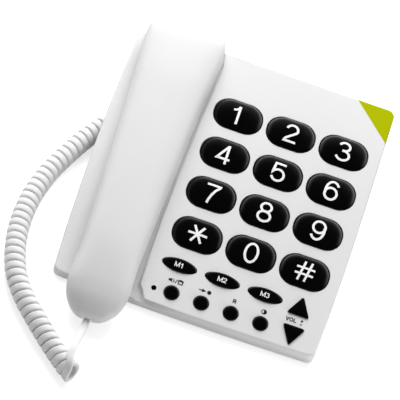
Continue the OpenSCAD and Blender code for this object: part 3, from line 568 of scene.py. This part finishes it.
def make_outer_shell():
    """The handset's outer shell, with room for the jack and for the plug's way in."""
    shell = loft("handset_cover", [outer_section(row) for row in station_rows(HANDSET_STEPS)])
    jack_matrix = handset_matrix @ Matrix.Translation(mm(0, JACK_U, JACK_DEPTH))
    jack_x, jack_z = JACK_W / 2 + JACK_GAP, JACK_H / 2 + JACK_GAP
    plug_x, plug_z = PLUG_W / 2 + PLUG_SIDE_GAP, PLUG_H / 2 + PLUG_GAP
    cut(shell, [
        box_cutter((-jack_x, 0, -jack_z), (jack_x, JACK_L, jack_z), jack_matrix),
        box_cutter((-plug_x, -PLUG_BACK - PLUG_GAP, BELOW_HANDSET), (plug_x, OVERLAP, plug_z),
                   jack_matrix),
    ])
    sharpen(shell, SHELL_EDGE)
    paint(shell, handset_plastic)
    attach(shell, "handset")
    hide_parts("handset_outer_shell")


make_outer_shell()

WELD_METRES = 1e-6


def smooth_copy(node, body, m, degrees):
    """A copy of a CAD node with smooth shading, which replaces it."""
    piece = add_object(node + "_skin", NODES[node].data.copy())
    paint(piece, m)
    edit_mesh(piece, lambda b: bmesh.ops.remove_doubles(b, verts=b.verts, dist=WELD_METRES))
    sharpen(piece, degrees)
    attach(piece, body)
    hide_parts(node)
    return piece


smooth_copy("handset_inner_shell", "handset", handset_plastic, SHELL_EDGE)

# ---------------------------------------------------------------- the panel's frame

BASE_D = 178
FRONT_H = 8.6
FRONT_SLOPE = 13.8
PANEL_R = 1430
arc_y0 = -BASE_D / 2 + PANEL_R * math.sin(math.radians(FRONT_SLOPE))
arc_z0 = FRONT_H - PANEL_R * math.cos(math.radians(FRONT_SLOPE))


def on_panel(x, along):
    """The frame of a place on the arched panel, at a length along the arch from its front."""
    slope = math.radians(FRONT_SLOPE) - along / PANEL_R
    y = arc_y0 - PANEL_R * math.sin(slope)
    z = arc_z0 + PANEL_R * math.cos(slope)
    return Matrix.Translation(mm(x, y, z)) @ Matrix.Rotation(slope, 4, "X")


# ---------------------------------------------------------------- outlines

CORNER_STEPS = 12
ELLIPSE_POINTS = 48
TRIANGLE_CORNER_STEPS = 6


def rounded_rect(w, h, r):
    points = []
    for cx, cy, start in ((1, 1, 0), (-1, 1, 90), (-1, -1, 180), (1, -1, 270)):
        for i in range(CORNER_STEPS + 1):
            a = math.radians(start + 90 * i / CORNER_STEPS)
            points.append((cx * (w / 2 - r) + r * math.cos(a), cy * (h / 2 - r) + r * math.sin(a)))
    return points


def ellipse(w, h):
    turns = [2 * math.pi * i / ELLIPSE_POINTS for i in range(ELLIPSE_POINTS)]
    return [(w / 2 * math.cos(a), h / 2 * math.sin(a)) for a in turns]


def rounded_triangle(w, h, up, r):
    """A triangle whose middle of area is the origin, with round corners of radius r."""
    corners = [(-w / 2, -up * h / 3), (w / 2, -up * h / 3), (0, up * 2 * h / 3)]
    if up < 0:
        corners.reverse()
    points = []
    for i, corner in enumerate(corners):
        c = Vector(corner)
        before = (Vector(corners[i - 1]) - c).normalized()
        after = (Vector(corners[(i + 1) % 3]) - c).normalized()
        half = before.angle(after) / 2
        centre = c + (before + after).normalized() * r / math.sin(half)
        start = c + before * r / math.tan(half) - centre
        end = c + after * r / math.tan(half) - centre
        for k in range(TRIANGLE_CORNER_STEPS + 1):
            points.append(tuple(centre + start.slerp(end, k / TRIANGLE_CORNER_STEPS)))
    return points


def outline_inset(points, inset):
    """The outline moved inwards by an inset, along each point's own normal."""
    moved = []
    count = len(points)
    for i, p in enumerate(points):
        a, b = Vector(points[i - 1]), Vector(points[(i + 1) % count])
        t = (b - a).normalized()
        moved.append(Vector(p) + Vector((-t.y, t.x)) * inset)
    return moved


# ---------------------------------------------------------------- key caps

KEY_FOOT = -2.2
FLANGE = 1.2
FLANGE_T = 0.9
SHOULDER_STEPS = 8
SHOULDER_DROP = 0.5
TOP_RINGS = 6
KEY_EDGE = 50


def dome_height(x, y, rise, radius):
    """The height of a key's top over the panel; the top is part of a sphere."""
    return rise - radius + math.sqrt(radius * radius - x * x - y * y)


def make_key(name, outline, x, along, rise, dome, shoulder):
    """A key cap with a rounded rim and a domed top, on its flange below the panel."""
    matrix = on_panel(x, along)
    rings = []
    flange = outline_inset(outline, -FLANGE)
    for points, z in ((flange, KEY_FOOT - FLANGE_T), (flange, KEY_FOOT), (outline, KEY_FOOT)):
        rings.append([(px, py, z) for px, py in points])
    for i in range(SHOULDER_STEPS + 1):
        a = math.pi / 2 * i / SHOULDER_STEPS
        inset = shoulder * (1 - math.cos(a))
        drop = SHOULDER_DROP * shoulder * (1 - math.sin(a))
        points = outline_inset(outline, inset)
        rings.append([(p.x, p.y, dome_height(p.x, p.y, rise, dome) - drop) for p in points])
    rim = outline_inset(outline, shoulder)
    for i in range(1, TOP_RINGS):
        f = 1 - i / TOP_RINGS
        rings.append([(p.x * f, p.y * f, dome_height(p.x * f, p.y * f, rise, dome)) for p in rim])
    cap = loft(name + "_cap", [[matrix @ mm(*p) for p in ring] for ring in rings])
    sharpen(cap, KEY_EDGE)
    paint(cap, key_plastic)
    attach(cap, name)
    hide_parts(name)
    return matrix


# ---------------------------------------------------------------- prints

PRINT_LIFT = 0.03
PRINT_STEP = 0.008
DENSE_STEP = 0.6
MITRE_LEAST = 0.4


def arc(cx, cy, rx, ry, start, end, steps):
    """Points along an ellipse, from a start to an end in degrees."""
    points = []
    for i in range(steps + 1):
        a = math.radians(start + (end - start) * i / steps)
        points.append((cx + rx * math.cos(a), cy + ry * math.sin(a)))
    return points


def loop(cx, cy, rx, ry, steps):
    """An ellipse for a closed stroke, from its top."""
    return arc(cx, cy, rx, ry, 90, 450, steps)[:-1]


def dense(points):
    """The same line with points close enough together to follow a dome."""
    line = [Vector(points[0])]
    for p in points[1:]:
        p = Vector(p)
        start = line[-1]
        count = max(1, math.ceil((p - start).length / DENSE_STEP))
        for i in range(1, count + 1):
            line.append(start.lerp(p, i / count))
    return line


def stroke_edges(line, width, closed):
    """Left and right edges of a stroke along a line, with mitred corners."""
    count = len(line)
    left, right = [], []
    for i, p in enumerate(line):
        a = line[i - 1] if i > 0 or closed else None
        b = line[(i + 1) % count] if i < count - 1 or closed else None
        t1 = (p - a).normalized() if a is not None else (b - p).normalized()
        t2 = (b - p).normalized() if b is not None else t1
        n1, n2 = Vector((-t1.y, t1.x)), Vector((-t2.y, t2.x))
        n = (n1 + n2).normalized()
        reach = width / 2 / max(n.dot(n1), MITRE_LEAST)
        left.append(p + n * reach)
        right.append(p - n * reach)
    return left, right


def make_print(name, strokes, matrix, height, m, body, fills=()):
    """Flat printed strokes and filled shapes, laid on z = height(x, y) of a local frame.

    A stroke is (points, width, closed). Each one lies a little over the one before.
    """
    vertices, faces = [], []

    def add(x, y, layer):
        lift = PRINT_LIFT + PRINT_STEP * layer
        vertices.append(matrix @ mm(x, y, height(x, y) + lift))

    for layer, (points, width, closed) in enumerate(strokes):
        line = dense(points + [points[0]])[:-1] if closed else dense(points)
        left, right = stroke_edges(line, width, closed)
        start = len(vertices)
        for a, b in zip(left, right):
            add(a.x, a.y, layer)
            add((a.x + b.x) / 2, (a.y + b.y) / 2, layer)
            add(b.x, b.y, layer)
        spans = len(line) if closed else len(line) - 1
        for i in range(spans):
            a, b = start + 3 * i, start + 3 * ((i + 1) % len(line))
            faces.append((a + 1, b + 1, b, a))
            faces.append((a + 2, b + 2, b + 1, a + 1))
    for layer, points in enumerate(fills):
        first = len(vertices)
        for x, y in points:
            add(x, y, layer)
        faces.append(tuple(range(first, len(vertices))))
    piece = new_object(name, vertices, faces)
    up = matrix.to_3x3() @ Vector((0, 0, 1))

    def face_up(b):
        for face in b.faces:
            if face.normal.dot(up) < 0:
                face.normal_flip()

    edit_mesh(piece, face_up)
    paint(piece, m)
    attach(piece, body)


# ---------------------------------------------------------------- dial keys

DIAL_KEYS = ["1", "2", "3", "4", "5", "6", "7", "8", "9", "star", "0", "hash"]
DIAL_MIDDLE = 26.7
DIAL_PITCH_X = 34
DIAL_FRONT_ROW = 52.2
DIAL_PITCH_ALONG = 29.4
DIAL_X = [DIAL_MIDDLE + DIAL_PITCH_X * column for column in (-1, 0, 1)]
DIAL_ALONG = [DIAL_FRONT_ROW + (3 - row) * DIAL_PITCH_ALONG for row in range(4)]
KEY_W = 30.6
KEY_H = 21.5
KEY_CORNER = 9.8
KEY_RISE = 2.4
KEY_DOME = 62
KEY_SHOULDER = 3

STROKE = 1.5
HASH_STROKE = 1.35
DIGIT_Y = -0.4
DIGIT_SHIFT = {"1": (-0.9, 0), "4": (-0.5, -0.3)}
STAR_ARMS = ((5.9, 0), (6.4, 60), (6.4, 120))
DIGITS = {
    "0": [(loop(0, 0, 3.8, 6.3, 40), True)],
    "1": [([(0.75, -6.8), (0.75, 6.2)], False),
          ([(-2.9, 3.05), (-1.5, 3.3), (-0.4, 3.8), (0.3, 4.8), (0.6, 6.2)], False)],
    "2": [(arc(0.2, 2.5, 3.4, 3.4, 172, -28, 24) + [(-2.8, -4.3), (-3.3, -5.9), (4.1, -5.9)],
           False)],
    "3": [(arc(-0.2, 3.3, 3.3, 3.0, 165, -75, 20) + [(-1.2, 0.3)], False),
          ([(-1.2, 0.3)] + arc(-0.2, -3.0, 4.0, 3.3, 80, -165, 24), False)],
    "4": [([(4.1, -3.4), (-3.9, -3.4), (1.65, 6.0)], False), ([(1.8, -6.8), (1.8, 6.6)], False)],
    "5": [([(3.6, 6.0), (-2.7, 6.0), (-3.5, -0.6)] + arc(0, -2.1, 3.8, 3.9, 152, -160, 26),
           False)],
    "6": [(loop(0, -2.3, 3.75, 4.0, 36), True), (arc(0.35, 0, 4.05, 6.3, 35, 205, 24), False)],
    "7": [([(-4.1, 6.0), (4.1, 6.0), (3.9, 5.2), (1.8, 2.6), (0.2, -0.9), (-0.9, -4.2),
            (-1.3, -6.9)], False)],
    "8": [(loop(0, 3.25, 3.2, 3.05, 30), True), (loop(0, -2.95, 3.85, 3.35, 34), True)],
    "9": [(loop(0, 2.3, 3.75, 4.0, 36), True), (arc(-0.35, 0, 4.05, 6.3, 215, 385, 24), False)],
    "star": [([(r * math.cos(math.radians(a)), r * math.sin(math.radians(a))),
               (-r * math.cos(math.radians(a)), -r * math.sin(math.radians(a)))], False)
             for r, a in STAR_ARMS],
    "hash": [([(-5.6, 2.1), (5.9, 2.1)], False), ([(-5.9, -2.1), (5.6, -2.1)], False),
             ([(-3.2, -6.7), (-1.0, 6.7)], False), ([(1.0, -6.7), (3.2, 6.7)], False)],
}


def make_dial_keys():
    outline = rounded_rect(KEY_W, KEY_H, KEY_CORNER)
    for i, figure in enumerate(DIAL_KEYS):
        body = "key_" + figure
        matrix = make_key(body, outline, DIAL_X[i % 3], DIAL_ALONG[i // 3], KEY_RISE, KEY_DOME,
                          KEY_SHOULDER)
        dx, dy = DIGIT_SHIFT.get(figure, (0, 0))
        width = HASH_STROKE if figure == "hash" else STROKE
        strokes = [([(x + dx, y + dy + DIGIT_Y) for x, y in points], width, closed)
                   for points, closed in DIGITS[figure]]
        make_print("figure_" + figure, strokes, matrix,
                   lambda x, y: dome_height(x, y, KEY_RISE, KEY_DOME), print_white, body)


make_dial_keys()

# ---------------------------------------------------------------- small keys

LETTERS = {
    "M": [([(-1.25, -1.5), (-1.25, 1.5), (0, -1.1), (1.25, 1.5), (1.25, -1.5)], False)],
    "1": [([(0.2, -1.5), (0.2, 1.5)], False), ([(-0.75, 0.7), (-0.2, 0.95), (0.15, 1.5)], False)],
    "2": [(arc(0, 0.65, 0.85, 0.75, 170, -35, 12) + [(-0.95, -1.25), (1.05, -1.25)], False)],
    "3": [(arc(-0.05, 0.65, 0.75, 0.65, 160, -80, 10), False),
          (arc(-0.05, -0.6, 0.9, 0.7, 80, -160, 12), False)],
    "V": [([(-1.0, 1.5), (0, -1.4), (1.0, 1.5)], False)],
    "O": [(loop(0, 0, 1.1, 1.3, 20), True)],
    "L": [([(-0.8, 1.5), (-0.8, -1.25), (0.9, -1.25)], False)],
    "R": [([(-0.9, -1.5), (-0.9, 1.25), (0.2, 1.25)] + arc(0.2, 0.6, 0.7, 0.65, 90, -90, 8)
           + [(-0.9, -0.05)], False), ([(0.1, -0.05), (1.0, -1.5)], False)],
    "+": [([(-0.9, 0), (0.9, 0)], False), ([(0, -0.9), (0, 0.9)], False)],
    "-": [([(-0.8, 0), (0.8, 0)], False)],
}


def word_strokes(word, scale, width, pitch=0, x=0, y=0):
    """The strokes of a short word, centred on (x, y)."""
    strokes = []
    start = x - pitch * (len(word) - 1) / 2
    for i, letter in enumerate(word):
        left = start + pitch * i
        for points, closed in LETTERS[letter]:
            placed = [(left + px * scale, y + py * scale) for px, py in points]
            strokes.append((placed, width, closed))
    return strokes


SMALL_RISE = 1.6
WIDE_DOME = 40

MEMORY_FIRST_X = -11.4
MEMORY_PITCH_X = 27
MEMORY_X = [MEMORY_FIRST_X + MEMORY_PITCH_X * i for i in range(3)]
MEMORY_ALONG = 29.1
MEMORY_W = 21.5
MEMORY_H = 8.4
MEMORY_SHOULDER = 1.2
MEMORY_LETTERS = {"scale": 1.05, "width": 0.52, "pitch": 2.9, "y": -0.4}

ROUND_FIRST_X = -10.7
ROUND_PITCH_X = 18.6
ROUND_X = [ROUND_FIRST_X + ROUND_PITCH_X * i for i in range(4)]
ROUND_ALONG = 10.5
ROUND_D = 9.2
ROUND_DOME = 20
ROUND_SHOULDER = 1.3

VOLUME_X = 64.8
VOLUME_UP_ALONG = 27.6
VOLUME_DOWN_ALONG = 11.4
VOLUME_W = 12.4
VOLUME_H = 11.6
VOLUME_CORNER = 0.5
VOLUME_SHOULDER = 0.45


def make_small_keys():
    for i, key_x in enumerate(MEMORY_X, start=1):
        body = f"key_m{i}"
        matrix = make_key(body, ellipse(MEMORY_W, MEMORY_H), key_x, MEMORY_ALONG, SMALL_RISE,
                          WIDE_DOME, MEMORY_SHOULDER)
        make_print("figure_" + body, word_strokes(f"M{i}", **MEMORY_LETTERS), matrix,
                   lambda x, y: dome_height(x, y, SMALL_RISE, WIDE_DOME), print_white, body)
    for name, key_x in zip(("ringer", "redial", "recall", "mute"), ROUND_X):
        make_key("key_" + name, ellipse(ROUND_D, ROUND_D), key_x, ROUND_ALONG, SMALL_RISE,
                 ROUND_DOME, ROUND_SHOULDER)
    for name, up, along in (("up", 1, VOLUME_UP_ALONG), ("down", -1, VOLUME_DOWN_ALONG)):
        make_key("key_volume_" + name, rounded_triangle(VOLUME_W, VOLUME_H, up, VOLUME_CORNER),
                 VOLUME_X, along, SMALL_RISE, WIDE_DOME, VOLUME_SHOULDER)


make_small_keys()

# ---------------------------------------------------------------- prints on the panel

THIN_STROKE = 0.55
MUTE_STROKE = 0.5
MARK_STROKE = 0.6
MARK_SCALE = 0.85
RINGER_MARK_ALONG = 18.5
REDIAL_MARK_ALONG = 18.5
RECALL_MARK_ALONG = 18.6
MUTE_MARK_ALONG = 18.4
VOLUME_MARK_ALONG = 19.6


def arch_drop(x, y):
    """Height of the arched panel over its tangent plane, so that prints lie on it."""
    return math.sqrt(PANEL_R ** 2 - y * y) - PANEL_R


def panel_print(name, x, along, strokes, fills=()):
    """A black print on the arched panel."""
    make_print(name, strokes, on_panel(x, along), arch_drop, print_black, "base",
               fills)


def make_panel_prints():
    ringer_x, redial_x, recall_x, mute_x = ROUND_X
    speaker = [(-4.2, -0.7), (-3.2, -0.7), (-2.1, -1.4), (-2.1, 1.4), (-3.2, 0.7), (-4.2, 0.7)]
    panel_print("mark_ringer", ringer_x, RINGER_MARK_ALONG, [
        (arc(-2.1, 0, 1.15, 1.25, -60, 60, 8), THIN_STROKE, False),
        ([(0.0, -1.3), (0.9, 1.3)], THIN_STROKE, False),
        ([(1.9, -1.1), (4.5, -1.1), (4.5, 0.8), (1.9, 0.8)], THIN_STROKE, True),
        (arc(3.2, -0.1, 1.9, 1.6, 25, 155, 8), THIN_STROKE, False),
    ], [speaker])
    arrow_head = [(-1.8, -1.1), (0.7, 0.1), (-1.8, 1.3)]
    panel_print("mark_redial", redial_x, REDIAL_MARK_ALONG,
                [([(-3.9, 0.1), (-1.2, 0.1)], THIN_STROKE, False)],
                [arrow_head, arc(2.7, 0, 1.3, 1.3, 0, 345, 23)])
    panel_print("mark_recall", recall_x, RECALL_MARK_ALONG,
                word_strokes("R", MARK_SCALE, MARK_STROKE))
    panel_print("mark_mute", mute_x, MUTE_MARK_ALONG,
                [(loop(0, 0, 1.5, 1.4, 20), MUTE_STROKE, True)],
                [arc(0.1, 0, 1.5, 1.4, -100, 100, 14)])
    panel_print("mark_volume", VOLUME_X, VOLUME_MARK_ALONG,
                word_strokes("VOL", MARK_SCALE, MARK_STROKE, pitch=2.4, x=-2.9)
                + word_strokes("+", MARK_SCALE, MARK_STROKE, x=3.5, y=1.0)
                + word_strokes("-", MARK_SCALE, THIN_STROKE, x=3.5, y=-1.3))


make_panel_prints()

# ---------------------------------------------------------------- housing

HOUSING_EDGE = 25
ARC_TOLERANCE = math.cos(math.radians(2.5))


def arch_normal(y):
    """The panel's normal at a place y along the base, in metres."""
    sine = (arc_y0 * MM - y) / (PANEL_R * MM)
    return Vector((0, -sine, math.sqrt(1 - sine * sine)))


def make_upper_housing():
    """The CAD housing with its arched faces shaded as one smooth arch."""
    piece = smooth_copy("upper_housing", "base", housing, HOUSING_EDGE)
    mesh = piece.data
    normals = [Vector(n.vector) for n in mesh.corner_normals]
    for face in mesh.polygons:
        if face.normal.dot(arch_normal(face.center.y)) > ARC_TOLERANCE:
            for corner in face.loop_indices:
                vertex = mesh.vertices[mesh.loops[corner].vertex_index]
                normals[corner] = arch_normal(vertex.co.y)
    mesh.normals_split_custom_set(normals)


make_upper_housing()

# ---------------------------------------------------------------- stage

FLOOR_HALF = 6
FLOOR_GREY = 0.85
FLOOR_GLOW = 0.62
WORLD_LIGHT = 0.3
WORLD_SEEN = 1.0
GLOSS_LEAST = 0.05
GLOSS_MOST = 3.6
GLOW_FULL_BELOW = 0.3
GLOW_NONE_ABOVE = 0.85
GLOW_FULL_BEHIND = 0.6


def math_node(nodes, links, operation, first, second):
    """A Math node on a socket and on a second socket or a number."""
    node = nodes.new("ShaderNodeMath")
    node.operation = operation
    links.new(first, node.inputs[0])
    if isinstance(second, float):
        node.inputs[1].default_value = second
    else:
        links.new(second, node.inputs[1])
    return node.outputs["Value"]


def make_floor():
    """A white floor that looks a little brighter to the camera than it is lit."""
    floor = new_object("floor", [(x * FLOOR_HALF, y * FLOOR_HALF, 0)
                                 for x, y in ((-1, -1), (1, -1), (1, 1), (-1, 1))],
                       [(0, 1, 2, 3)], smooth=False)
    m = bpy.data.materials.new("floor")
    m.use_nodes = True
    nodes, links = m.node_tree.nodes, m.node_tree.links
    nodes.clear()
    out = nodes.new("ShaderNodeOutputMaterial")
    diffuse = nodes.new("ShaderNodeBsdfDiffuse")
    diffuse.inputs["Color"].default_value = (FLOOR_GREY, FLOOR_GREY, FLOOR_GREY, 1)
    glow = nodes.new("ShaderNodeEmission")
    add = nodes.new("ShaderNodeAddShader")
    rays = nodes.new("ShaderNodeLightPath")
    lift = math_node(nodes, links, "MULTIPLY", rays.outputs["Is Camera Ray"], FLOOR_GLOW)
    links.new(lift, glow.inputs["Strength"])
    links.new(diffuse.outputs["BSDF"], add.inputs[0])
    links.new(glow.outputs["Emission"], add.inputs[1])
    links.new(add.outputs["Shader"], out.inputs["Surface"])
    floor.data.materials.append(m)


def make_world():
    """A white backdrop and a soft light; glossy surfaces see a glow low behind the phone."""
    world = bpy.data.worlds.new("world")
    world.use_nodes = True
    bpy.context.scene.world = world
    nodes, links = world.node_tree.nodes, world.node_tree.links
    background = nodes["Background"]
    rays = nodes.new("ShaderNodeLightPath")
    seen = math_node(nodes, links, "MAXIMUM", rays.outputs["Is Camera Ray"],
                     rays.outputs["Is Transmission Ray"])
    strength = map_range(nodes, links, seen, To_Min=WORLD_LIGHT, To_Max=WORLD_SEEN)
    place = nodes.new("ShaderNodeTexCoord")
    split = nodes.new("ShaderNodeSeparateXYZ")
    links.new(place.outputs["Generated"], split.inputs["Vector"])
    low = map_range(nodes, links, split.outputs["Z"], From_Min=GLOW_FULL_BELOW,
                    From_Max=GLOW_NONE_ABOVE, To_Min=1, To_Max=0)
    rear = map_range(nodes, links, split.outputs["Y"], From_Min=0, From_Max=GLOW_FULL_BEHIND)
    glow = math_node(nodes, links, "MULTIPLY", low, rear)
    gloss = map_range(nodes, links, glow, To_Min=GLOSS_LEAST, To_Max=GLOSS_MOST)
    choice = nodes.new("ShaderNodeMix")
    links.new(rays.outputs["Is Glossy Ray"], choice.inputs["Factor"])
    links.new(strength, choice.inputs["A"])
    links.new(gloss, choice.inputs["B"])
    links.new(choice.outputs["Result"], background.inputs["Strength"])
    background.inputs["Color"].default_value = (1, 1, 1, 1)


def make_lamp(name, place, target, size, watts):
    """A square area lamp aimed at the target, which glossy surfaces don't see."""
    data = bpy.data.lights.new(name, "AREA")
    data.shape = "SQUARE"
    data.size = size
    data.energy = watts
    lamp = add_object(name, data)
    direction = Vector(target) - Vector(place)
    lamp.location = place
    lamp.rotation_euler = direction.to_track_quat("-Z", "Y").to_euler()
    lamp.visible_glossy = False


make_floor()
make_world()
make_lamp("softbox_rear", place=(-0.16, 0.8, 0.9), target=(0, 0, 0.02), size=1, watts=19)
make_lamp("strip_right", place=(0.28, -0.22, 0.04), target=(-0.05, -0.12, 0.02), size=0.08,
          watts=0.26)

bpy.context.scene.view_settings.view_transform = "Standard"
